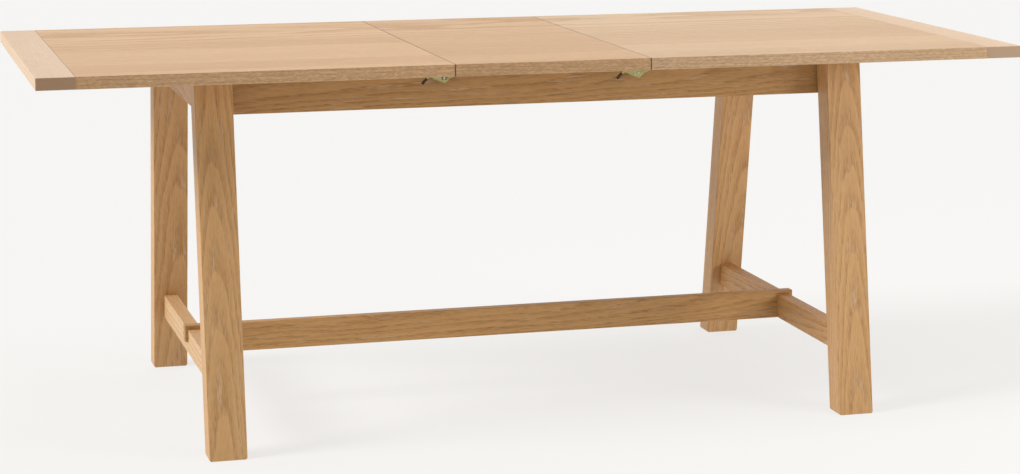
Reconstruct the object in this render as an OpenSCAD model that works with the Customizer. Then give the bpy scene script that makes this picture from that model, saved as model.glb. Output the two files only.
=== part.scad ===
// Extending trestle dining table, shown drawn out with its centre leaf in place.
// X runs along the table, Y across it, Z up; the origin is on the floor under the middle of the top.

/* [Top] */
// Length of the closed top, both halves together
closed_l = 1600; // [1400:10:1920]
// Length that the centre leaf adds
leaf_l = 400; // [340:10:480]
// Width of the top
top_w = 850; // [760:10:1020]
// Thickness of the top boards
top_t = 24; // [20:0.5:30]
// Width of the cross-grain board at each end of the top
end_board_w = 74; // [60:1:100]
// Visible gap at each side of the leaf
seam_gap = 1.2; // [0.5:0.1:1.5]
// Length of the tongue between a top panel and its end board
tongue_l = 18; // [12:1:24]
// Thickness of that tongue
tongue_t = 8; // [6:0.5:10]
// Distance from the tongue's end to the edge of the top
tongue_inset = 30; // [20:1:40]

/* [Stand] */
// Height of the table
height = 755; // [680:5:910]
// Length of the stand over its legs
base_l = 1380; // [1200:10:1560]
// Width of a leg, along the table
leg_w = 74; // [62:1:90]
// Thickness of a leg, square to its slope
leg_t = 52; // [42:1:63]
// Spread of the feet, outside to outside, across the table
foot_spread = 848; // [760:2:1010]
// Spread of the leg heads, outside to outside
head_spread = 630; // [600:2:700]
// Height of the aprons and the upper end rails
apron_h = 80; // [70:1:100]
// Thickness of an apron
apron_t = 22; // [18:1:25]
// Thickness of the end rails and the cross rails
rail_t = 28; // [24:1:34]
// Height of a lower cross rail
cross_h = 50; // [42:1:60]
// Height of the cross rails' lower edge above the floor
cross_z = 118; // [90:1:150]
// Height of the long stretcher
stretcher_h = 60; // [50:1:72]
// Thickness of the long stretcher
stretcher_t = 22; // [18:1:26]
// How far the stretcher's tongue stands past the cross rail
tongue_out = 7; // [3:1:11]
// Length of the rail tenons in the legs
tenon_l = 28; // [20:1:30]
// Thickness of the rail tenons
tenon_t = 10; // [8:1:14]

/* [Slides] */
// How far each half can be pulled past the leaf to free it
free_play = 12; // [8:1:16]
// Width of a bearer
bearer_w = 24; // [20:1:26]
// Height of a bearer
bearer_h = 34; // [30:1:38]
// Thickness of a guide between its two bearers
guide_w = 14; // [12:1:18]
// How far a guide's tongue reaches into a bearer
guide_tongue = 6; // [4:0.5:8]
// Height of a guide's tongue
guide_tongue_h = 10; // [8:1:12]
// Side clearance of a sliding bearer
slide_gap = 1; // [0.6:0.1:1.4]
// Diameter of the locating pins in the top's edges
pin_d = 8; // [6:0.5:10]

/* [Fittings] */
// Thickness of the latch and keeper brackets
plate_t = 2; // [1.5:0.25:2.5]
// Thickness of a latch lever
lever_t = 3; // [2:0.5:4]
// Diameter of the latch pivots and the keeper pins
pivot_d = 5; // [4:0.5:5.5]
// Distance from an apron's face to the middle of the left latches
latch_gap = 18; // [14:1:24]
// Shank diameter of the wood screws
screw_d = 4; // [3:0.5:4.5]
// Diameter of the hidden dowels
dowel_d = 8; // [6:1:9]

/* [Hidden] */
$fn = 48;

OAK_TOP = [0.86, 0.69, 0.49];
OAK_STAND = [0.80, 0.61, 0.40];
BEECH = [0.85, 0.70, 0.55];
ZINC = [0.72, 0.70, 0.42];
STEEL = [0.66, 0.67, 0.68];
DARK = [0.10, 0.09, 0.08];

ease = 1;          // chamfer along the boards' edges
eps = 0.01;        // overshoot of a cut
far = 2000;        // longer than any part
fit = 0.1;         // clearance around a glued joint, dowel or screw

// The top
half_leaf = leaf_l / 2;
half_l = closed_l / 2;
top_x = half_leaf + half_l;
under_z = height - top_t;
mid_z = height - top_t / 2;
seam_x = top_x - end_board_w;
tongue_y = top_w / 2 - tongue_inset;

// The legs, sloping inward from the feet to the heads
leg_top = under_z - 1;
leg_cx = (base_l - leg_w) / 2;
slope = atan((foot_spread - head_spread) / 2 / under_z);
leg_depth = leg_t / cos(slope);
function leg_outer(z) = foot_spread / 2 - z * tan(slope);
function leg_inner(z) = leg_outer(z) - leg_depth;
foot_ease = 3;

// Rails between the legs
rail_x = leg_cx - rail_t / 2;        // inner face of an end rail or a cross rail
rail_z = leg_top - apron_h;
tenon_shoulder = 8;                  // from a rail's edge to its tenon
shoulder_gap = 0.01;                 // between a rail's shoulders and its legs
apron_gap = 2;                       // from an apron's face to the leg heads
apron_y = leg_inner(leg_top) - apron_gap;
dowel_l = rail_t * 1.4;
dowel_heights = [apron_h * 0.3, apron_h * 0.7];
cross_top = cross_z + cross_h;
stretcher_z = cross_z - 1;
lap_z = cross_z + cross_h / 2;       // seat of the stretcher's tongue in the cross rail
tongue_x = rail_x + rail_t + tongue_out;

// The slides: an outer lane for the left half's bearers and an inner lane for the right half's
lane_gap = 8;                        // from the apron to the outer bearer
lane_outer = apron_y - apron_t - lane_gap - bearer_w / 2;
guide_y = lane_outer - bearer_w / 2 - slide_gap - guide_w / 2;
lane_inner = guide_y - guide_w / 2 - slide_gap - bearer_w / 2;
guide_z = under_z - bearer_h / 2;
guide_top_gap = 3;
guide_high = under_z - guide_top_gap;
guide_low = under_z - bearer_h + guide_top_gap;
guide_housing = 8;                   // depth of a guide's end in the end rail
groove_gap = 0.3;
groove_floor = 1.5;                  // from a guide's tongue to the groove's floor
bearer_out = rail_x - free_play - 1;
bearer_in = 15;                      // from the middle of the table to a bearer's inner end
lanes = [lane_outer, lane_inner];

// Battens, centre rail, corner blocks
batten_w = 40;
batten_t = 20;
batten_x = rail_x - 130;
batten_y = lane_inner - bearer_w / 2 - 6;
batten_screws = [-batten_y * 0.8, 0, batten_y * 0.8];
leaf_batten_x = half_leaf * 0.55;
centre_rail_h = 30;
centre_rail_z = under_z - bearer_h - 6 - centre_rail_h;
centre_dowel_l = apron_t * 1.6;
centre_dowel_d = dowel_d * 0.75;
block_l = 55;
block_h = 32;
block_toe = 8;                       // thickness of a corner block's two ends
block_z = under_z - bearer_h - 5 - block_h;

// Locating pins, each half's in its own places so that they pass when the top is closed
pin_in = 20;
pin_out = 10;
pin_play = 0.3;
pin_end_gap = 2;                     // from a pin's tip to the end of its slot
pin_y = apron_y - 10;                // of the outermost pins, clear of the catches
left_pins = [-pin_y, -pin_y * 0.4, pin_y * 0.8];
right_pins = [for (y = left_pins) -y];

// Latches: a hooked lever under each half turns on one pin and catches another under the leaf.
// The fittings face the same way at both seams, so the left levers turn on the pins at near_pin and
// the right ones on those at far_pin. Outlines are (distance right of the seam, height under the
// top) points seen from the front.
latch_y = apron_y + latch_gap;
latch_stagger = 20;                  // the right latches stand this much further out
latch_ys = [latch_y, latch_y + latch_stagger];
near_pin = [-12, -12];
far_pin = [14, -21];
boss_r = 7;
mouth_gap = 0.4;                     // under a caught pin
mouth_side = pivot_d / 2 + 2.5;      // from a caught pin's middle to the hook beside it
far_mouth = far_pin.y - pivot_d / 2 - mouth_gap;
near_mouth = near_pin.y - pivot_d / 2 - mouth_gap;
prong = [6, 5];                      // width and height of a hook's tip
belly = [16, -31];
heel = [-8, -21.5];
left_lever = [
    [near_pin.x, near_pin.y + boss_r], [far_pin.x - mouth_side - 8, near_pin.y + boss_r - 1],
    [far_pin.x - mouth_side, near_pin.y - 2], [far_pin.x - mouth_side, far_mouth],
    [far_pin.x + mouth_side, far_mouth], [far_pin.x + mouth_side, far_mouth + prong.y - 1],
    [far_pin.x + mouth_side + prong.x, far_mouth + prong.y],
    [far_pin.x + mouth_side + prong.x, far_mouth + 1], belly, heel, [near_pin.x - boss_r, near_pin.y],
];
right_lever = [
    [near_pin.x - mouth_side - prong.x, near_mouth + prong.y - 1],
    [near_pin.x - mouth_side, near_mouth + prong.y], [near_pin.x - mouth_side, near_mouth],
    [near_pin.x + mouth_side, near_mouth], [near_pin.x + mouth_side, near_mouth + prong.y],
    [far_pin.x, far_pin.y + boss_r], [far_pin.x + 11, far_pin.y + 2], [far_pin.x + 11, far_pin.y - 2],
    belly, heel, [near_pin.x - boss_r - 1, near_pin.y - 5],
];
handle_turn = 46;                    // slope of the handles below the horizontal
handle_from = 6;                     // from the near pin
handle_l = 26;
handle_w = 3.4;
grip_from = 12;
grip_wall = 0.8;
grip_ease = 0.4;
lever_fit = 0.06;                    // radial clearance on a pin
cheek_gap = 0.6;                     // beside a lever
cheek_l = 16;
cheek_h = 18;
cheek_cut = 5;                       // off the lower corners of a cheek
cheek_x = near_pin.x - cheek_l / 2;
near_cheek = [
    [cheek_x, 0], [cheek_x + cheek_l, 0], [cheek_x + cheek_l, cheek_cut - cheek_h],
    [cheek_x + cheek_l - cheek_cut, -cheek_h], [cheek_x + cheek_cut, -cheek_h],
    [cheek_x, cheek_cut - cheek_h],
];
near_plate = [-36, -3];
far_plate = [5, 44];
far_gap = 3;                         // from a lever to the one cheek behind it
far_drop = 25;
far_cheek = [
    [far_pin.x - 8, 0], [far_plate[1], 0], [far_plate[1], -17],
    [far_pin.x + 6, -far_drop], [far_pin.x - 4, -far_drop], [far_pin.x - 8, -far_drop + 4],
];
bracket_w = 20;
near_screws = [-32, -25];
far_screws = [30, 37];
pin_proud = 1.5;                     // of the cheeks
latch_screw_l = 14;
latch_screw_d = 3;

// Screws
screw_bite = 14;
block_screw_l = 40;
block_screw_y = 34;
stretcher_screw_l = cross_h * 0.8;
bearer_screws = [0.1, 0.36, 0.62, 0.88];    // places along a bearer's length under its half
bearer_screw_side = bearer_w / 6;    // from a bearer's middle, away from its groove

// A rectangle with chamfered corners
module eased_rect(l, w, e) {
    polygon([[e, 0], [l - e, 0], [l, e], [l, w - e], [l - e, w], [e, w], [0, w - e], [0, e]]);
}

// A board between two corners, with chamfered edges all round
module board(lo, hi, e = ease) {
    s = hi - lo;
    translate(lo)
        intersection() {
            linear_extrude(s.z) eased_rect(s.x, s.y, e);
            translate([0, s.y, 0]) rotate([90, 0, 0]) linear_extrude(s.y) eased_rect(s.x, s.z, e);
            rotate([90, 0, 90]) linear_extrude(s.x) eased_rect(s.y, s.z, e);
        }
}

// A plain block between two corners
module block(lo, hi) {
    translate(lo) cube(hi - lo);
}

// A round bar along X from its start
module bar_x(at, l, d) {
    translate(at) rotate([0, 90, 0]) cylinder(d = d, h = l);
}

// A round bar along Y from its start
module bar_y(at, l, d) {
    translate(at) rotate([-90, 0, 0]) cylinder(d = d, h = l);
}

// A countersunk screw pointing up, its head flush with z = 0; extra grows it into its own hole
module wood_screw(l, d, extra = 0) {
    cylinder(d = d + extra, h = l + extra);
    cylinder(d1 = 2 * d + extra, d2 = d + extra, h = d / 2);
    translate([0, 0, -extra]) cylinder(d = 2 * d + extra, h = extra + eps);
}

// sx is -1 for the left end and 1 for the right; sy is -1 for the front and 1 for the back
module leg(sx, sy) {
    color(OAK_STAND)
    difference() {
        intersection() {
            translate([sx * leg_cx, sy * (leg_outer(0) - leg_depth / 2), 0])
                rotate([sy * slope, 0, 0])
                    translate([-leg_w / 2, -leg_t / 2, -leg_t])
                        linear_extrude(height + leg_t) eased_rect(leg_w, leg_t, ease);
            foot_limits(sx, sy);
        }
        rail_tenon(sx, sy, rail_z, leg_top, fit);
        rail_tenon(sx, sy, cross_z, cross_top, fit);
    }
}

// The space that a leg fills: level at the head and the foot, with a chamfer round the foot
module foot_limits(sx, sy) {
    translate([sx * leg_cx, 0, 0]) rotate([90, 0, 0])
        linear_extrude(far, center = true)
            polygon([
                [-leg_w / 2 + foot_ease, 0], [leg_w / 2 - foot_ease, 0],
                [leg_w / 2, foot_ease], [leg_w / 2, leg_top],
                [-leg_w / 2, leg_top], [-leg_w / 2, foot_ease],
            ]);
}

// A tenon on a rail's end, stopped inside the leg
module rail_tenon(sx, sy, z0, z1, grow = 0) {
    y0 = leg_inner(z1);
    tip = leg_inner(z0 + tenon_shoulder) + tenon_l;
    mirror([0, sy < 0 ? 1 : 0, 0])
        block(
            [sx * leg_cx - tenon_t / 2 - grow, y0 - 2 * tenon_shoulder, z0 + tenon_shoulder - grow],
            [sx * leg_cx + tenon_t / 2 + grow, tip + grow, z1 - tenon_shoulder + grow]
        );
}

// A rail across the table between two sloping legs
module sloped_rail(sx, z0, z1) {
    translate([sx * leg_cx - rail_t / 2, 0, 0])
        rotate([90, 0, 90])
            linear_extrude(rail_t)
                polygon([
                    [shoulder_gap - leg_inner(z0), z0], [leg_inner(z0) - shoulder_gap, z0],
                    [leg_inner(z1) - shoulder_gap, z1], [shoulder_gap - leg_inner(z1), z1],
                ]);
    for (sy = [-1, 1]) rail_tenon(sx, sy, z0, z1);
}

module end_rail(sx) {
    color(OAK_STAND)
    difference() {
        sloped_rail(sx, rail_z, leg_top);
        for (sy = [-1, 1]) guide_bar(sy, fit);
        for (sy = [-1, 1]) apron_dowel_pair(sx, sy, fit);
        block_screws(sx, fit);
    }
}

module cross_rail(sx) {
    color(OAK_STAND)
    difference() {
        sloped_rail(sx, cross_z, cross_top);
        block([-far, -stretcher_t / 2 - fit, lap_z - fit], [far, stretcher_t / 2 + fit, far]);
        stretcher_screw(sx, fit);
    }
}

module long_stretcher() {
    color(OAK_STAND)
    difference() {
        board(
            [-tongue_x, -stretcher_t / 2, stretcher_z],
            [tongue_x, stretcher_t / 2, stretcher_z + stretcher_h]
        );
        for (sx = [-1, 1]) {
            mirror([sx < 0 ? 1 : 0, 0, 0])
                block([rail_x - fit, -far, stretcher_z - 1], [far, far, lap_z]);
            stretcher_screw(sx, fit);
        }
    }
}

module stretcher_screw(sx, extra = 0) {
    translate([sx * leg_cx, 0, cross_z]) wood_screw(stretcher_screw_l, screw_d, extra);
}

module stretcher_screws() {
    color(STEEL) for (sx = [-1, 1]) stretcher_screw(sx);
}

// An apron, running between the end rails just behind the leg heads
module apron(sy) {
    color(OAK_STAND)
    difference() {
        mirror([0, sy < 0 ? 1 : 0, 0])
            board([-rail_x, apron_y - apron_t, rail_z], [rail_x, apron_y, leg_top]);
        for (sx = [-1, 1]) {
            apron_dowel_pair(sx, sy, fit);
            block_screws(sx, fit);
        }
        centre_dowel_pair(sy, fit);
    }
}

module apron_dowel_pair(sx, sy, grow = 0) {
    for (z = dowel_heights)
        bar_x([sx * rail_x - dowel_l / 2 - grow, sy * (apron_y - apron_t / 2), rail_z + z],
              dowel_l + 2 * grow, dowel_d + 2 * grow);
}

module apron_dowels() {
    color(BEECH)
    for (sx = [-1, 1], sy = [-1, 1]) apron_dowel_pair(sx, sy);
}

// Corner blocks below the bearers, between each apron and its end rail
module corner_blocks() {
    color(BEECH)
    difference() {
        for (sx = [-1, 1], sy = [-1, 1])
            mirror([sx < 0 ? 1 : 0, 0, 0]) mirror([0, sy < 0 ? 1 : 0, 0])
                translate([rail_x, apron_y - apron_t, block_z])
                    linear_extrude(block_h)
                        polygon([
                            [0, 0], [0, -block_l], [-block_toe, -block_l],
                            [-block_l, -block_toe], [-block_l, 0],
                        ]);
        for (sx = [-1, 1]) block_screws(sx, fit);
    }
}

// One screw along each arm of the two corner blocks at one end
module block_screws(sx, extra = 0) {
    for (sy = [-1, 1])
        mirror([sx < 0 ? 1 : 0, 0, 0]) mirror([0, sy < 0 ? 1 : 0, 0]) {
            z = block_z + block_h / 2;
            translate([rail_x - block_screw_l / 2, apron_y - apron_t - block_screw_y, z])
                rotate([0, 90, 0]) wood_screw(block_screw_l, screw_d, extra);
            translate([rail_x - block_screw_y, apron_y - apron_t - block_screw_l / 2 - 2, z])
                rotate([-90, 0, 0]) wood_screw(block_screw_l, screw_d, extra);
        }
}

module corner_block_screws() {
    color(STEEL) for (sx = [-1, 1]) block_screws(sx);
}

// A fixed guide with a tongue on each side, housed in the end rails
module guide_bar(sy, grow = 0) {
    l = rail_x + guide_housing + grow;
    translate([-l, sy * guide_y, 0]) rotate([90, 0, 90])
        linear_extrude(2 * l)
            polygon([
                for (side = [1, -1])
                    each [
                        [side * (guide_w / 2 + grow), side > 0 ? guide_low - grow : guide_high + grow],
                        [side * (guide_w / 2 + grow), guide_z - side * (guide_tongue_h / 2 + grow)],
                        [side * (guide_w / 2 + guide_tongue + grow),
                         guide_z - side * (guide_tongue_h / 2 + grow)],
                        [side * (guide_w / 2 + guide_tongue + grow),
                         guide_z + side * (guide_tongue_h / 2 + grow)],
                        [side * (guide_w / 2 + grow), guide_z + side * (guide_tongue_h / 2 + grow)],
                        [side * (guide_w / 2 + grow), side > 0 ? guide_high + grow : guide_low - grow],
                    ],
            ]);
}

module guide(sy) {
    color(BEECH) guide_bar(sy);
}

module centre_rail() {
    y = apron_y - apron_t;
    color(OAK_STAND)
    difference() {
        board([-apron_t / 2, -y, centre_rail_z], [apron_t / 2, y, centre_rail_z + centre_rail_h]);
        for (sy = [-1, 1]) centre_dowel_pair(sy, fit);
    }
}

module centre_dowel_pair(sy, grow = 0) {
    l = centre_dowel_l;
    for (x = [-apron_t / 4, apron_t / 4])
        bar_y([x, sy * (apron_y - apron_t - 1) - l / 2 - grow, centre_rail_z + centre_rail_h / 2],
              l + 2 * grow, centre_dowel_d + 2 * grow);
}

module centre_rail_dowels() {
    color(BEECH) for (sy = [-1, 1]) centre_dowel_pair(sy);
}

// One half of the top without its end board; own and met are the pin places of this and the other half
module top_panel(sx, own, met) {
    color(OAK_TOP)
    difference() {
        union() {
            mirror([sx < 0 ? 1 : 0, 0, 0])
                board([half_leaf, -top_w / 2, under_z], [seam_x, top_w / 2, height], ease / 2);
            end_tongue(sx);
        }
        pins(sx, own, fit);
        pin_slots(sx * half_leaf, sx, met);
        top_screw_set(sx, fit);
        latch_screw_set(sx, fit);
    }
}

module end_tongue(sx, grow = 0) {
    mirror([sx < 0 ? 1 : 0, 0, 0])
        block(
            [seam_x - 2, -tongue_y - grow, mid_z - tongue_t / 2 - grow],
            [seam_x + tongue_l + grow, tongue_y + grow, mid_z + tongue_t / 2 + grow]
        );
}

module end_board(sx) {
    color(OAK_TOP)
    difference() {
        mirror([sx < 0 ? 1 : 0, 0, 0])
            board([seam_x, -top_w / 2, under_z], [top_x, top_w / 2, height], ease / 2);
        end_tongue(sx, fit);
    }
}

// Pins standing out of a half's inner edge towards the leaf
module pins(sx, ys, grow = 0) {
    for (y = ys)
        bar_x([sx * half_leaf + (sx > 0 ? -pin_out : -pin_in) - grow, y, mid_z],
              pin_in + pin_out + 2 * grow, pin_d + 2 * grow);
}

// Slots in an edge at x for the pins that meet it, open underneath; dir points into the board
module pin_slots(x, dir, ys) {
    l = pin_out + pin_end_gap;
    for (y = ys) {
        w = pin_d + 2 * pin_play;
        bar_x([dir > 0 ? x - 1 : x - l, y, mid_z], l + 1, w);
        block([dir > 0 ? x - 1 : x - l, y - w / 2, under_z - 1], [dir > 0 ? x + l : x + 1, y + w / 2, mid_z]);
    }
}

// A sliding bearer, grooved along the side that faces its guide
module bearer(sx, lane, sy, toward) {
    y = sy * lane;
    edge = y + sy * toward * bearer_w / 2;
    reach = guide_tongue - slide_gap + groove_floor;
    color(BEECH)
    difference() {
        mirror([sx < 0 ? 1 : 0, 0, 0])
            board([bearer_in, y - bearer_w / 2, under_z - bearer_h], [bearer_out, y + bearer_w / 2, under_z]);
        block(
            [-far, min(edge, edge - sy * toward * reach), guide_z - guide_tongue_h / 2 - groove_gap],
            [far, max(edge, edge - sy * toward * reach), guide_z + guide_tongue_h / 2 + groove_gap]
        );
        top_screw_set(sx, fit);
    }
}

// A batten under a half of the top, between its bearers
module batten(sx) {
    color(BEECH)
    difference() {
        mirror([sx < 0 ? 1 : 0, 0, 0])
            board([batten_x - batten_w / 2, -batten_y, under_z - batten_t],
                  [batten_x + batten_w / 2, batten_y, under_z]);
        top_screw_set(sx, fit);
    }
}

// The screws that hold the bearers and the batten to one half
module top_screw_set(sx, extra = 0) {
    lane = sx < 0 ? lane_outer : lane_inner;
    side = sx < 0 ? -bearer_screw_side : bearer_screw_side;
    span = bearer_out - half_leaf;
    for (sy = [-1, 1], share = bearer_screws)
        translate([sx * (half_leaf + span * share), sy * (lane - side), under_z - bearer_h])
            wood_screw(bearer_h + screw_bite, screw_d, extra);
    for (y = batten_screws)
        translate([sx * batten_x, y, under_z - batten_t])
            wood_screw(batten_t + screw_bite, screw_d, extra);
}

module top_screws(sx) {
    color(STEEL) top_screw_set(sx);
}

// Places its children, drawn at a seam as for the front left latch, at one latch
module at_latch(sx, sy) {
    translate([sx * half_leaf, sy * latch_ys[sx < 0 ? 0 : 1], under_z])
        mirror([0, sy > 0 ? 1 : 0, 0]) children();
}

// Places its children at the front and the back latch of one seam
module at_latches(sx) {
    for (sy = [-1, 1]) at_latch(sx, sy) children();
}

// An outline seen from the front, made into a plate of thickness t around y
module upright(t, y = 0) {
    translate([0, y + t / 2, 0]) rotate([90, 0, 0]) linear_extrude(t) children();
}

// Runs its children's X out along the handle from the near pin
module along_handle() {
    translate([near_pin.x, 0, near_pin.y]) rotate([0, 180 - handle_turn, 0]) children();
}

module latch_lever(sx, sy) {
    turns_on = sx < 0 ? near_pin : far_pin;
    color(ZINC)
    at_latch(sx, sy)
        difference() {
            union() {
                upright(lever_t) polygon(sx < 0 ? left_lever : right_lever);
                upright(lever_t) translate(turns_on) circle(r = boss_r);
                along_handle()
                    block([handle_from, -lever_t / 2, -handle_w / 2], [handle_l, lever_t / 2, handle_w / 2]);
            }
            bar_y([turns_on.x, -lever_t, turns_on.y], 2 * lever_t, pivot_d + 2 * lever_fit);
        }
}

module latch_grip(sx, sy) {
    y = lever_t / 2;
    z = handle_w / 2;
    gap = fit / 4;
    color(DARK)
    at_latch(sx, sy) along_handle()
        difference() {
            board([grip_from, -y - grip_wall, -z - grip_wall],
                  [handle_l + grip_wall, y + grip_wall, z + grip_wall], grip_ease);
            block([grip_from - 1, -y - gap, -z - gap], [handle_l + gap, y + gap, z + gap]);
        }
}

// A bracket's plate against the wood, between two distances from the seam
module base_plate(span) {
    block([span[0], -bracket_w / 2, -plate_t], [span[1], bracket_w / 2, 0]);
}

// The bracket left of a seam, with a cheek on each side of the lever
module near_bracket() {
    difference() {
        union() {
            base_plate(near_plate);
            for (side = [-1, 1])
                upright(plate_t, side * (lever_t / 2 + cheek_gap + plate_t / 2)) polygon(near_cheek);
        }
        bar_y([near_pin.x, -bracket_w, near_pin.y], 2 * bracket_w, pivot_d + fit);
        plate_screws(near_screws, fit);
    }
}

// The bracket right of a seam, with one cheek behind the lever
module far_bracket() {
    difference() {
        union() {
            base_plate(far_plate);
            upright(plate_t, lever_t / 2 + far_gap + plate_t / 2) polygon(far_cheek);
        }
        bar_y([far_pin.x, -bracket_w, far_pin.y], 2 * bracket_w, pivot_d + fit);
        plate_screws(far_screws, fit);
    }
}

module plate_screws(xs, extra = 0) {
    for (x = xs) translate([x, 0, -plate_t]) wood_screw(latch_screw_l, latch_screw_d, extra);
}

module near_pin_bar() {
    y = lever_t / 2 + cheek_gap + plate_t + pin_proud;
    bar_y([near_pin.x, -y, near_pin.y], 2 * y, pivot_d);
}

module far_pin_bar() {
    front = lever_t / 2 + pin_proud;
    back = lever_t / 2 + far_gap + plate_t + pin_proud;
    bar_y([far_pin.x, -front, far_pin.y], front + back, pivot_d);
}

module latch_brackets(sx) {
    color(ZINC) at_latches(sx) if (sx < 0) near_bracket(); else far_bracket();
}

module latch_pivots(sx) {
    color(STEEL) at_latches(sx) if (sx < 0) near_pin_bar(); else far_pin_bar();
}

module latch_screw_set(sx, extra = 0) {
    at_latches(sx) plate_screws(sx < 0 ? near_screws : far_screws, extra);
}

module latch_screws(sx) {
    color(STEEL) latch_screw_set(sx);
}

// The leaf's brackets and pins, which the levers catch
module keeper_brackets() {
    color(ZINC) {
        at_latches(-1) far_bracket();
        at_latches(1) near_bracket();
    }
}

module keeper_pins() {
    color(STEEL) {
        at_latches(-1) far_pin_bar();
        at_latches(1) near_pin_bar();
    }
}

module keeper_screw_set(extra = 0) {
    at_latches(-1) plate_screws(far_screws, extra);
    at_latches(1) plate_screws(near_screws, extra);
}

module keeper_screws() {
    color(STEEL) keeper_screw_set();
}

module leaf_panel() {
    l = half_leaf - seam_gap;
    color(OAK_TOP)
    difference() {
        board([-l, -top_w / 2, under_z], [l, top_w / 2, height], ease / 2);
        pin_slots(-l, 1, left_pins);
        pin_slots(l, -1, right_pins);
        keeper_screw_set(fit);
        leaf_screw_set(fit);
    }
}

module leaf_batten(sx) {
    color(BEECH)
    difference() {
        mirror([sx < 0 ? 1 : 0, 0, 0])
            board([leaf_batten_x - batten_w / 2, -batten_y, under_z - batten_t],
                  [leaf_batten_x + batten_w / 2, batten_y, under_z]);
        leaf_screw_set(fit);
    }
}

module leaf_screw_set(extra = 0) {
    for (sx = [-1, 1], y = batten_screws)
        translate([sx * leaf_batten_x, y, under_z - batten_t])
            wood_screw(batten_t + screw_bite, screw_d, extra);
}

module leaf_screws() {
    color(STEEL) leaf_screw_set();
}

leg(-1, -1);  // leg_front_left
leg(1, -1);  // leg_front_right
leg(-1, 1);  // leg_back_left
leg(1, 1);  // leg_back_right
end_rail(-1);  // end_rail_left
end_rail(1);  // end_rail_right
cross_rail(-1);  // cross_rail_left
cross_rail(1);  // cross_rail_right
long_stretcher();
stretcher_screws();
apron(-1);  // apron_front
apron(1);  // apron_back
apron_dowels();
corner_blocks();
corner_block_screws();
guide(-1);  // guide_front
guide(1);  // guide_back
centre_rail();
centre_rail_dowels();
top_panel(-1, left_pins, right_pins);  // top_panel_left
end_board(-1);  // end_board_left
bearer(-1, lane_outer, -1, -1);  // bearer_left_front
bearer(-1, lane_outer, 1, -1);  // bearer_left_back
batten(-1);  // batten_left
top_screws(-1);  // top_screws_left
color(STEEL) pins(-1, left_pins);  // locating_pins_left
latch_brackets(-1);  // latch_brackets_left
latch_pivots(-1);  // latch_pivots_left
latch_screws(-1);  // latch_screws_left
latch_lever(-1, -1);  // latch_lever_left_front
latch_grip(-1, -1);  // latch_grip_left_front
latch_lever(-1, 1);  // latch_lever_left_back
latch_grip(-1, 1);  // latch_grip_left_back
top_panel(1, right_pins, left_pins);  // top_panel_right
end_board(1);  // end_board_right
bearer(1, lane_inner, -1, 1);  // bearer_right_front
bearer(1, lane_inner, 1, 1);  // bearer_right_back
batten(1);  // batten_right
top_screws(1);  // top_screws_right
color(STEEL) pins(1, right_pins);  // locating_pins_right
latch_brackets(1);  // latch_brackets_right
latch_pivots(1);  // latch_pivots_right
latch_screws(1);  // latch_screws_right
latch_lever(1, -1);  // latch_lever_right_front
latch_grip(1, -1);  // latch_grip_right_front
latch_lever(1, 1);  // latch_lever_right_back
latch_grip(1, 1);  // latch_grip_right_back
leaf_panel();
leaf_batten(-1);  // leaf_batten_left
leaf_batten(1);  // leaf_batten_right
leaf_screws();
keeper_brackets();
keeper_pins();
keeper_screws();
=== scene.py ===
import math
from collections import namedtuple

import bpy
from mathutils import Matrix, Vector


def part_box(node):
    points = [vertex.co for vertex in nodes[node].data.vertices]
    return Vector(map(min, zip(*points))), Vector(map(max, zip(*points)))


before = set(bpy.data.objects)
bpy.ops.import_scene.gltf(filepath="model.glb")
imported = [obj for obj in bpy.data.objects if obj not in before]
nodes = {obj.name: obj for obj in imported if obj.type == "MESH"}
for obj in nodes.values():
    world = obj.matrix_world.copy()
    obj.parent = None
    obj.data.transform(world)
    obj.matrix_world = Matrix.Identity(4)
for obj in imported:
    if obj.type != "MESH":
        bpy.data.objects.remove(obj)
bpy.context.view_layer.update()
scene = bpy.context.scene

# ---------------------------------------------------------------- camera, lights and stage

CAMERA_AT = Vector((-1.395, -5.108, 1.334))  # metres
CAMERA_HEADING = math.radians(15.57)  # turned from +Y towards +X
CAMERA_TILT = math.radians(-9.00)  # turned down from level
CAMERA_SENSOR = 36.0  # mm
CAMERA_LENS = 88.97  # mm
CAMERA_SHIFT_Y = -0.0757  # of the sensor's width

BACKDROP = (0.947, 0.938, 0.921)
COOL_WHITE = (0.98, 0.99, 1.0)
SOFT_WHITE = (1.0, 0.99, 0.97)
WARM_WHITE = (1.0, 0.94, 0.86)

SKY_FRONT, SKY_BACK = 0.14, 0.92  # strength of the light from in front of the table and from behind it
SKY_FADE_FROM, SKY_FADE_TO = -0.4, 0.8  # the part of the direction's Y over which one becomes the other

FLOOR_HALF = 40.0  # metres
FLOOR_COLOUR = (0.17, 0.169, 0.166)
FLOOR_GLOW = 0.76  # of the backdrop's colour, so that the floor meets it without an edge


def add_camera():
    data = bpy.data.cameras.new("camera")
    data.sensor_width = CAMERA_SENSOR
    data.lens = CAMERA_LENS
    data.shift_y = CAMERA_SHIFT_Y
    cam = bpy.data.objects.new("camera", data)
    scene.collection.objects.link(cam)
    cam.location = CAMERA_AT
    cam.rotation_euler = (math.pi / 2 + CAMERA_TILT, 0.0, -CAMERA_HEADING)
    scene.camera = cam


def add_lamp(name, kind, from_direction, energy, colour):
    data = bpy.data.lights.new(name, kind)
    data.energy = energy
    data.color = colour
    lamp = bpy.data.objects.new(name, data)
    scene.collection.objects.link(lamp)
    lamp.rotation_euler = Vector(from_direction).to_track_quat("Z", "Y").to_euler()
    return lamp


def add_sun(name, from_direction, energy, angle, colour):
    lamp = add_lamp(name, "SUN", from_direction, energy, colour)
    lamp.data.angle = math.radians(angle)


def add_area(name, at, toward, energy, size, colour):
    lamp = add_lamp(name, "AREA", Vector(at) - Vector(toward), energy, colour)
    lamp.location = at
    lamp.data.size = size


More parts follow.
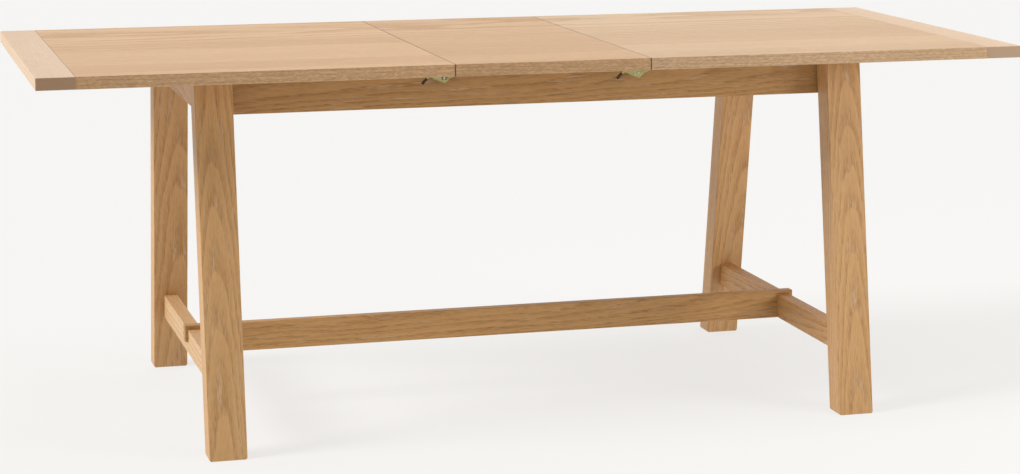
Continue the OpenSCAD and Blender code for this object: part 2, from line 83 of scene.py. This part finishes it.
def add_world():
    """A plain backdrop to look at; as a light it is bright behind the table and dim in front of it."""
    world = bpy.data.worlds.new("studio")
    scene.world = world
    world.use_nodes = True
    tree = world.node_tree
    tree.nodes.clear()
    direction = tree.nodes.new("ShaderNodeTexCoord")
    split = tree.nodes.new("ShaderNodeSeparateXYZ")
    fade = tree.nodes.new("ShaderNodeMapRange")
    fade.interpolation_type = "SMOOTHSTEP"
    fade.inputs["From Min"].default_value = SKY_FADE_FROM
    fade.inputs["From Max"].default_value = SKY_FADE_TO
    fade.inputs["To Min"].default_value = SKY_FRONT
    fade.inputs["To Max"].default_value = SKY_BACK
    seen = tree.nodes.new("ShaderNodeBackground")
    seen.inputs["Color"].default_value = (*BACKDROP, 1)
    light = tree.nodes.new("ShaderNodeBackground")
    light.inputs["Color"].default_value = (*COOL_WHITE, 1)
    path = tree.nodes.new("ShaderNodeLightPath")
    mix = tree.nodes.new("ShaderNodeMixShader")
    out = tree.nodes.new("ShaderNodeOutputWorld")
    tree.links.new(direction.outputs["Generated"], split.inputs[0])
    tree.links.new(split.outputs["Y"], fade.inputs["Value"])
    tree.links.new(fade.outputs["Result"], light.inputs["Strength"])
    tree.links.new(path.outputs["Is Camera Ray"], mix.inputs["Fac"])
    tree.links.new(light.outputs[0], mix.inputs[1])
    tree.links.new(seen.outputs[0], mix.inputs[2])
    tree.links.new(mix.outputs[0], out.inputs["Surface"])


def add_floor():
    corners = [(-FLOOR_HALF, -FLOOR_HALF, 0), (FLOOR_HALF, -FLOOR_HALF, 0),
               (FLOOR_HALF, FLOOR_HALF, 0), (-FLOOR_HALF, FLOOR_HALF, 0)]
    mesh = bpy.data.meshes.new("floor")
    mesh.from_pydata(corners, [], [(0, 1, 2, 3)])
    floor = bpy.data.objects.new("floor", mesh)
    scene.collection.objects.link(floor)
    material = bpy.data.materials.new("pale_floor")
    material.use_nodes = True
    shader = material.node_tree.nodes["Principled BSDF"]
    shader.inputs["Base Color"].default_value = (*FLOOR_COLOUR, 1)
    shader.inputs["Roughness"].default_value = 1.0
    shader.inputs["Specular IOR Level"].default_value = 0.0
    shader.inputs["Emission Color"].default_value = (*BACKDROP, 1)
    shader.inputs["Emission Strength"].default_value = FLOOR_GLOW
    mesh.materials.append(material)


# ---------------------------------------------------------------- node helpers


class Graph:
    """Shorthands over a material's node tree; they take sockets or plain values."""

    def __init__(self, name):
        self.material = bpy.data.materials.new(name)
        self.material.use_nodes = True
        self.tree = self.material.node_tree
        self.shader = self.tree.nodes["Principled BSDF"]
        self.place = self.tree.nodes.new("ShaderNodeTexCoord").outputs["Object"]

    def link(self, value, socket):
        if isinstance(value, bpy.types.NodeSocket):
            self.tree.links.new(value, socket)
        elif socket.type == "RGBA":
            socket.default_value = (*value, 1)
        else:
            socket.default_value = value

    def math(self, operation, a, b=0.0, clamp=False):
        node = self.tree.nodes.new("ShaderNodeMath")
        node.operation = operation
        node.use_clamp = clamp
        self.link(a, node.inputs[0])
        self.link(b, node.inputs[1])
        return node.outputs[0]

    def plus(self, a, b):
        return self.math("ADD", a, b)

    def minus(self, a, b):
        return self.math("SUBTRACT", a, b)

    def times(self, a, b):
        return self.math("MULTIPLY", a, b)

    def vary(self, value, noise, swing):
        """The value, moved by a noise of 0 to 1 from half a swing below to half a swing above."""
        return self.plus(value, self.times(self.minus(noise, 0.5), swing))

    def vector(self, operation, a, b=(0, 0, 0)):
        node = self.tree.nodes.new("ShaderNodeVectorMath")
        node.operation = operation
        self.link(a, node.inputs[0])
        self.link(b, node.inputs[1])
        return node.outputs["Value" if operation in ("DOT_PRODUCT", "LENGTH") else "Vector"]

    def facing(self, axis):
        """How squarely the surface faces along an axis, either way: 0 to 1."""
        normal = self.tree.nodes.new("ShaderNodeNewGeometry").outputs["True Normal"]
        return self.math("ABSOLUTE", self.vector("DOT_PRODUCT", normal, tuple(axis)))

    def combine(self, x, y, z):
        node = self.tree.nodes.new("ShaderNodeCombineXYZ")
        for value, socket in zip((x, y, z), node.inputs):
            self.link(value, socket)
        return node.outputs[0]

    def noise(self, vector, scale, detail, roughness=0.5):
        node = self.tree.nodes.new("ShaderNodeTexNoise")
        self.link(vector, node.inputs["Vector"])
        node.inputs["Scale"].default_value = scale
        node.inputs["Detail"].default_value = detail
        node.inputs["Roughness"].default_value = roughness
        return node.outputs["Fac"]

    def white(self, value):
        node = self.tree.nodes.new("ShaderNodeTexWhiteNoise")
        node.noise_dimensions = "1D"
        self.link(value, node.inputs["W"])
        return node.outputs["Value"]

    def ramp(self, value, stops):
        """A grey level read off a list of (place, level) stops."""
        node = self.tree.nodes.new("ShaderNodeValToRGB")
        elements = node.color_ramp.elements
        while len(elements) < len(stops):
            elements.new(0.5)
        for element, (place, level) in zip(elements, stops):
            element.position = place
            element.color = (level, level, level, 1)
        self.link(value, node.inputs["Fac"])
        return node.outputs["Color"]

    def mix(self, factor, a, b):
        node = self.tree.nodes.new("ShaderNodeMix")
        node.data_type = "RGBA"
        self.link(factor, node.inputs["Factor"])
        self.link(a, node.inputs[6])
        self.link(b, node.inputs[7])
        return node.outputs[2]

    def between(self, value, low, high):
        node = self.tree.nodes.new("ShaderNodeMapRange")
        self.link(value, node.inputs["Value"])
        node.inputs["To Min"].default_value = low
        node.inputs["To Max"].default_value = high
        return node.outputs["Result"]

    def bump(self, height, distance, strength):
        node = self.tree.nodes.new("ShaderNodeBump")
        node.inputs["Strength"].default_value = strength
        node.inputs["Distance"].default_value = distance
        self.link(height, node.inputs["Height"])
        self.link(node.outputs["Normal"], self.shader.inputs["Normal"])

    def set(self, **values):
        """Set or link the shader's inputs, such as base_color or specular_ior_level."""
        inputs = {socket.name.lower().replace(" ", "_"): socket for socket in self.shader.inputs}
        for key, value in values.items():
            self.link(value, inputs[key])


# ---------------------------------------------------------------- wood

# A noise drawn out along the grain: its waves a metre along, across and into the board, then the
# noise's own detail and roughness.
Figure = namedtuple("Figure", "along across deep detail roughness")
DRIFT = Figure(0.9, 5.0, 5.0, 3.0, 0.45)  # slow bends of the rings
RIPPLE = Figure(7.0, 40.0, 40.0, 2.0, 0.5)  # small waves of the rings
FIBRE = Figure(6.0, 420.0, 420.0, 3.0, 0.6)
PORE = Figure(55.0, 950.0, 950.0, 1.0, 0.5)
CLOUD = Figure(1.6, 11.0, 11.0, 3.0, 0.55)  # broad darker and paler places
LIMING = Figure(8.0, 90.0, 90.0, 3.0, 0.6)  # pale streaks
FLECK = Figure(130.0, 500.0, 420.0, 2.0, 0.6)  # short dark marks on a board's long edge

# Ramps, each a list of (place, level) stops.
RING_BAND = [(0.0, 0.25), (0.10, 1.0), (0.32, 0.72), (0.62, 0.28), (1.0, 0.06)]  # dark early wood, then pale
PORE_CUT = [(0.0, 1.0), (0.40, 1.0), (0.50, 0.0), (1.0, 0.0)]
LIMING_CUT = [(0.0, 0.0), (0.50, 0.0), (0.62, 1.0), (1.0, 1.0)]
FLECK_CUT = [(0.0, 1.0), (0.42, 1.0), (0.58, 0.0), (1.0, 0.0)]
FACING_CUT = [(0.0, 0.0), (0.70, 0.0), (0.85, 1.0), (1.0, 1.0)]

SEED_STEP = 1.618  # metres along the grain for each unit of seed
STRIP_SEED_STEP = 0.37  # metres across the grain for each unit of seed, where a board has strips
STRIP_SPREAD = 9.0  # metres along the grain over which a board's strips are taken
STRIP_OFFSET = 0.10  # metres across, over which they are taken
TONE_SEED, SHIFT_SEED, SHIFT_START = 7.0, 3.0, 40.0  # where a board's random draws begin

RIPPLE_SWING = 0.55  # of a ring's width
SPACING_SCALE, SPACING_SWING = 0.23, 2.2  # waves a ring, and rings shifted, by which the spacing varies
CLOUD_SWING, FIBRE_SWING, TONE_SWING = 0.75, 0.55, 0.42  # of the way from light to dark
BASE_DEPTH = 0.12
PORES_IN_LATE_WOOD = 0.25  # of those in the dark bands
PORE_SHADE, EDGE_SHADE, JOINT_SHADE = 0.42, 0.45, 0.25  # of the dark colour
FLECK_DEPTH, JOINT_DEPTH = 0.30, 0.55
JOINT_HALF = 0.0010  # metres of darker wood to each side of a joint across the top
LIME = (0.74, 0.55, 0.38)
LIME_SHARPNESS = 3.0
OAK_END = (0.12, 0.07, 0.035)
SATIN, MATT = (0.42, 0.6), (0.5, 0.7)  # roughness, from and to
ROUGH_FROM_BAND, ROUGH_FROM_FIBRE = 0.6, 0.4
WOOD_SPECULAR = 0.42
RELIEF_FIBRE, RELIEF_PORE, RELIEF_BAND = 0.35, 0.65, 0.25
WOOD_RELIEF, WOOD_RELIEF_STRENGTH = 0.00035, 0.5  # metres, and how much of it shows


def tint(colour, by):
    return tuple(c * t for c, t in zip(colour, by))


def shade(colour, by):
    return tuple(c * by for c in colour)


def figure(g, kind, x, y, z):
    place = g.combine(g.times(x, kind.along), g.times(y, kind.across), g.times(z, kind.deep))
    return g.noise(place, 1.0, kind.detail, kind.roughness)


def near_joints(g, x, joints):
    """1 beside a joint across the grain and 0 elsewhere."""
    found = 0.0
    for at in joints:
        beside = g.math("ABSOLUTE", g.minus(x, at))
        found = g.math("MAXIMUM", found, g.math("LESS_THAN", beside, JOINT_HALF))
    return found


def glued_strips(g, x, y, seed, width):
    """Each strip's wood comes from a place of its own and has its own tone."""
    strip = g.math("FLOOR", g.math("DIVIDE", g.plus(y, seed * STRIP_SEED_STEP), width))
    tone = g.white(g.plus(strip, seed * TONE_SEED))
    shift = g.white(g.plus(strip, seed * SHIFT_SEED + SHIFT_START))
    return g.plus(x, g.times(shift, STRIP_SPREAD)), g.vary(y, tone, STRIP_OFFSET), tone


def growth_rings(g, x, y, z, pith, ring, wander, taper):
    """The dark and pale bands of rings about a pith line, cut by the board's faces."""
    radius = g.vector("LENGTH", g.combine(0.0, g.minus(y, pith[0]), g.minus(z, pith[1])))
    radius = g.vary(radius, figure(g, DRIFT, x, y, z), wander)
    radius = g.vary(radius, figure(g, RIPPLE, x, y, z), ring * RIPPLE_SWING)
    radius = g.plus(radius, g.times(x, taper))
    turns = g.math("DIVIDE", radius, ring)
    spacing = g.noise(g.combine(turns, 0.0, 0.0), SPACING_SCALE, detail=1.0)
    turns = g.plus(turns, g.times(spacing, SPACING_SWING))
    return g.ramp(g.math("FRACT", turns), RING_BAND)


def limed_streaks(g, x, y, z, band, limed):
    streak = g.ramp(figure(g, LIMING, x, y, z), LIMING_CUT)
    early_wood = g.math("POWER", band, LIME_SHARPNESS)
    return g.times(streak, g.times(early_wood, limed))


def dark_edges(g, x, y, z, across, edge_dark):
    side = g.ramp(g.facing(across), FACING_CUT)
    fleck = g.ramp(figure(g, FLECK, x, y, z), FLECK_CUT)
    return g.times(side, g.plus(edge_dark, g.times(fleck, FLECK_DEPTH)))


def wood(name, along, across, pith, centre, seed, light, dark, ring, ring_depth, wander, taper, pores,
         strip=0.0, limed=0.0, end_dark=0.35, end_tint=OAK_END, edge_dark=0.0, joints=(), roughness=SATIN):
    """Oak or beech whose fibres run along one direction, with rings about a pith line beside the board.

    along, across: the directions of the grain and of the board's width
    pith: the (across, depth) place of the pith from the board's centre, in metres
    seed: where in the wood the board is taken from
    ring, ring_depth: the rings' mean width in metres, and how dark their bands are
    wander, taper: how far the rings bend, in metres, and how fast they widen along the board
    strip: the width of the glued strips, or 0 for one piece
    pores, limed, end_dark, edge_dark: how strongly the pores, the pale streaks, the end grain and the
        long edges stand out from the rest, 0 to 1
    end_tint: the colour that the end grain goes towards
    joints: places along the grain, from the centre, where a joint crosses the board
    roughness: the shader's, on the palest and the darkest wood"""
    g = Graph(name)
    a = Vector(along).normalized()
    b = (Vector(across) - a * a.dot(Vector(across))).normalized()
    from_centre = g.vector("SUBTRACT", g.place, tuple(centre))
    x, y, z = [g.vector("DOT_PRODUCT", from_centre, tuple(axis)) for axis in (a, b, a.cross(b))]
    joint = near_joints(g, x, joints)
    tone = None
    if strip:
        x, y, tone = glued_strips(g, x, y, seed, strip)
    x = g.plus(x, seed * SEED_STEP)

    band = growth_rings(g, x, y, z, pith, ring, wander, taper)
    fibre = figure(g, FIBRE, x, y, z)
    pore = g.ramp(figure(g, PORE, x, y, z), PORE_CUT)
    pore = g.times(pore, g.plus(g.times(band, 1 - PORES_IN_LATE_WOOD), PORES_IN_LATE_WOOD))

    depth = g.vary(g.times(band, ring_depth), figure(g, CLOUD, x, y, z), CLOUD_SWING)
    depth = g.vary(depth, fibre, FIBRE_SWING)
    if tone is not None:
        depth = g.vary(depth, tone, TONE_SWING)
    colour = g.mix(g.math("ADD", depth, BASE_DEPTH, clamp=True), light, dark)
    if limed:
        colour = g.mix(limed_streaks(g, x, y, z, band, limed), colour, LIME)
    colour = g.mix(g.times(pore, pores), colour, shade(dark, PORE_SHADE))
    end = g.ramp(g.facing(a), FACING_CUT)
    colour = g.mix(g.times(end, end_dark), colour, end_tint)
    if edge_dark:
        colour = g.mix(dark_edges(g, x, y, z, b, edge_dark), colour, shade(dark, EDGE_SHADE))
    if joints:
        colour = g.mix(g.times(joint, JOINT_DEPTH), colour, shade(dark, JOINT_SHADE))

    gloss = g.plus(g.times(band, ROUGH_FROM_BAND), g.times(fibre, ROUGH_FROM_FIBRE))
    g.set(base_color=colour, roughness=g.between(gloss, *roughness), specular_ior_level=WOOD_SPECULAR)
    relief = g.minus(g.times(fibre, RELIEF_FIBRE), g.times(pore, RELIEF_PORE))
    g.bump(g.minus(relief, g.times(band, RELIEF_BAND)), WOOD_RELIEF, WOOD_RELIEF_STRENGTH)
    return g.material


# ---------------------------------------------------------------- metals and rubber

METALLIC = 0.9
METAL_ROUGHNESS = (0.28, 0.48)
ROUGH_FROM_CLOUD, ROUGH_FROM_STREAKS = 0.5, 0.5
STREAKS = (60.0, 900.0, 900.0)  # waves a metre along X, Y and Z
DULL_CUT = [(0.35, 0.0), (0.65, 1.0)]
WORN_CUT = [(0.45, 0.0), (0.75, 1.0)]
WORN_SCALE, PEBBLE_SCALE = 120.0, 2400.0  # waves a metre
RUBBER_ROUGHNESS = (0.55, 0.8)
METAL_RELIEF, METAL_RELIEF_STRENGTH = 0.00008, 0.4  # metres, and how much of it shows
RUBBER_RELIEF, RUBBER_RELIEF_STRENGTH = 0.0001, 0.6


def metal(name, bright, dull, clouds):
    """Plated steel with rolling streaks and a duller film in clouds, so many of them a metre."""
    g = Graph(name)
    cloud = g.noise(g.place, clouds, detail=4.0, roughness=0.6)
    streaks = g.noise(g.vector("MULTIPLY", g.place, STREAKS), 1.0, detail=2.0)
    gloss = g.plus(g.times(cloud, ROUGH_FROM_CLOUD), g.times(streaks, ROUGH_FROM_STREAKS))
    g.set(base_color=g.mix(g.ramp(cloud, DULL_CUT), bright, dull), metallic=METALLIC,
          roughness=g.between(gloss, *METAL_ROUGHNESS))
    g.bump(streaks, METAL_RELIEF, METAL_RELIEF_STRENGTH)
    return g.material


def rubber(name, dark, light):
    """A dipped grip with a fine pebbled skin and a few worn, paler patches."""
    g = Graph(name)
    worn = g.noise(g.place, WORN_SCALE, detail=3.0, roughness=0.6)
    pebble = g.noise(g.place, PEBBLE_SCALE, detail=2.0)
    g.set(base_color=g.mix(g.ramp(worn, WORN_CUT), dark, light),
          roughness=g.between(worn, *RUBBER_ROUGHNESS))
    g.bump(pebble, RUBBER_RELIEF, RUBBER_RELIEF_STRENGTH)
    return g.material


# ---------------------------------------------------------------- finishes

X, Y, Z = Vector((1, 0, 0)), Vector((0, 1, 0)), Vector((0, 0, 1))

TOP_LIGHT, TOP_DARK = (0.640, 0.430, 0.262), (0.500, 0.295, 0.155)
STAND_LIGHT, STAND_DARK = (0.610, 0.355, 0.152), (0.400, 0.200, 0.066)

TOP_OAK = dict(ring=0.0058, ring_depth=0.44, wander=0.032, taper=0.006, pores=0.38, strip=0.118,
               end_dark=0.25, edge_dark=0.12)
END_OAK = dict(light=(0.700, 0.510, 0.345), dark=(0.575, 0.375, 0.225), ring=0.0042, ring_depth=0.34,
               wander=0.032, taper=0.015, pores=0.30)
LEG_OAK = dict(light=STAND_LIGHT, dark=STAND_DARK, ring=0.0062, ring_depth=0.50, wander=0.040, taper=0.045,
               pores=0.42, limed=0.38)
RAIL_OAK = dict(ring=0.0048, wander=0.040, taper=0.02, pores=0.52, limed=0.4)
BEECH = dict(light=(0.660, 0.450, 0.285), dark=(0.520, 0.320, 0.180), ring=0.004, ring_depth=0.25,
             wander=0.032, taper=0.02, pores=0.16, end_dark=0.3, roughness=MATT)

TOP_SEED, END_SEED, LEG_SEED, RAIL_SEED, BEECH_SEED = 2.3, 4.1, 3.7, 5.3, 2.9
TOP_PITH, END_PITH, BEECH_PITH = (0.30, -0.9), (0.11, -0.075), (0.05, 0.14)
LEG_PITH_START, LEG_PITH_STEP, LEG_PITH_DEPTH = -0.02, 0.012, 0.075
LEG_LEVEL = 0.0526  # metres of a sloping leg's thickness, measured level


def assign(name, material):
    mesh = nodes[name].data
    mesh.materials.clear()
    mesh.materials.append(material)


def centre_of(name):
    low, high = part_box(name)
    return (low + high) / 2


def seeded(names, step):
    """Each name of a list with a seed of its own, so that its boards are taken from different wood."""
    return [(name, number * step) for number, name in enumerate(names, 1)]


def finish_board(species, name, along, across, pith, seed, **look):
    assign(name, wood(species + "_" + name, along, across, pith, centre_of(name), seed, **look))


def finish_tops():
    tints = {"top_panel_left": (1.0, 0.935, 0.81), "leaf_panel": (0.94, 0.87, 0.74),
             "top_panel_right": (1.0, 1.01, 0.97)}
    left_end, right_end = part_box("end_board_left")[1].x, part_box("end_board_right")[0].x
    for name, seed in seeded(tints, TOP_SEED):
        low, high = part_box(name)
        middle = centre_of(name).x
        joints = [max(low.x, left_end) - middle, min(high.x, right_end) - middle]
        finish_board("oak", name, X, Y, TOP_PITH, seed, light=tint(TOP_LIGHT, tints[name]),
                     dark=tint(TOP_DARK, tints[name]), joints=joints, **TOP_OAK)


def finish_end_boards():
    looks = {"end_board_left": dict(end_dark=0.66, end_tint=(0.200, 0.085, 0.032)),
             "end_board_right": dict(end_dark=0.56, end_tint=(0.200, 0.120, 0.070))}
    for name, seed in seeded(looks, END_SEED):
        finish_board("oak", name, Y, X, END_PITH, seed, **looks[name], **END_OAK)


def finish_legs():
    outward = {"leg_front_left": -1, "leg_front_right": -1, "leg_back_left": 1, "leg_back_right": 1}
    for number, (name, seed) in enumerate(seeded(outward, LEG_SEED), 1):
        low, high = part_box(name)
        lean = math.atan2((high.y - low.y) - LEG_LEVEL, high.z - low.z)
        grain = Vector((0, -outward[name] * math.sin(lean), math.cos(lean)))
        pith = (LEG_PITH_START + LEG_PITH_STEP * number, outward[name] * LEG_PITH_DEPTH)
        finish_board("oak", name, grain, X, pith, seed, **LEG_OAK)


def finish_rails():
    # The aprons' tint is darker and less blue than the other rails': painted shade, standing in for the
    # shadow under the top's overhang.
    apron, rail, plain = (0.82, 0.79, 0.66), (0.92, 0.89, 0.76), (1.0, 0.95, 0.85)
    boards = {  # direction of the grain, place of the pith, tint, ring_depth
        "apron_front": (X, (0.02, 0.10), apron, 0.5),
        "apron_back": (X, (-0.01, -0.10), apron, 0.5),
        "long_stretcher": (X, (0.035, 0.09), rail, 0.46),
        "centre_rail": (Y, (0.0, 0.09), plain, 0.5),
        "end_rail_left": (Y, (0.0, 0.12), plain, 0.36),
        "end_rail_right": (Y, (0.03, 0.12), plain, 0.5),
        # The left cross rail's paler, cooler tint is painted sheen: the key light's glancing reflection on
        # its outer face.
        "cross_rail_left": (Y, (0.04, 0.11), (1.06, 1.15, 1.32), 0.26),
        "cross_rail_right": (Y, (-0.03, 0.11), (1.06, 1.0, 0.84), 0.46),
    }
    for name, seed in seeded(boards, RAIL_SEED):
        grain, pith, by, ring_depth = boards[name]
        finish_board("oak", name, grain, Z, pith, seed, light=tint(STAND_LIGHT, by),
                     dark=tint(STAND_DARK, by), ring_depth=ring_depth, **RAIL_OAK)


def finish_beech():
    along_x = ["guide_front", "guide_back", "bearer_left_front", "bearer_left_back",
               "bearer_right_front", "bearer_right_back", "apron_dowels"]
    along_y = ["batten_left", "batten_right", "leaf_batten_left", "leaf_batten_right",
               "corner_blocks", "centre_rail_dowels"]
    for grain, width, names in ((X, Z, along_x), (Y, X, along_y)):
        for name, seed in seeded(names, BEECH_SEED):
            finish_board("beech", name, grain, width, BEECH_PITH, seed, **BEECH)


def finish_fittings():
    zinc = metal("yellow_zinc", bright=(0.52, 0.48, 0.22), dull=(0.30, 0.31, 0.13), clouds=90.0)
    steel = metal("plated_steel", bright=(0.62, 0.62, 0.60), dull=(0.42, 0.42, 0.42), clouds=120.0)
    # The grip's near-black colour is painted shade: it stands in for the shadow on the latch's handle.
    grip = rubber("grip_rubber", dark=(0.045, 0.020, 0.010), light=(0.090, 0.048, 0.026))
    for name in nodes:
        if name.startswith(("latch_lever", "latch_brackets", "keeper_brackets")):
            assign(name, zinc)
        elif any(word in name for word in ("screw", "pins", "pivots")):
            assign(name, steel)
        elif name.startswith("latch_grip"):
            assign(name, grip)


# ---------------------------------------------------------------- the picture

add_camera()
add_world()
add_sun("key_left", from_direction=(-0.85, -0.08, 0.60), energy=2.9, angle=24, colour=COOL_WHITE)
add_sun("top_soft", from_direction=(0.10, -0.25, 1.0), energy=0.75, angle=60, colour=SOFT_WHITE)
add_area("front_right", at=(3.0, -2.6, 1.5), toward=(0.6, -0.2, 0.5), energy=60.0, size=1.6,
         colour=WARM_WHITE)
scene.view_settings.view_transform = "Standard"
scene.view_settings.look = "None"
add_floor()

finish_tops()
finish_end_boards()
finish_legs()
finish_rails()
finish_beech()
finish_fittings()
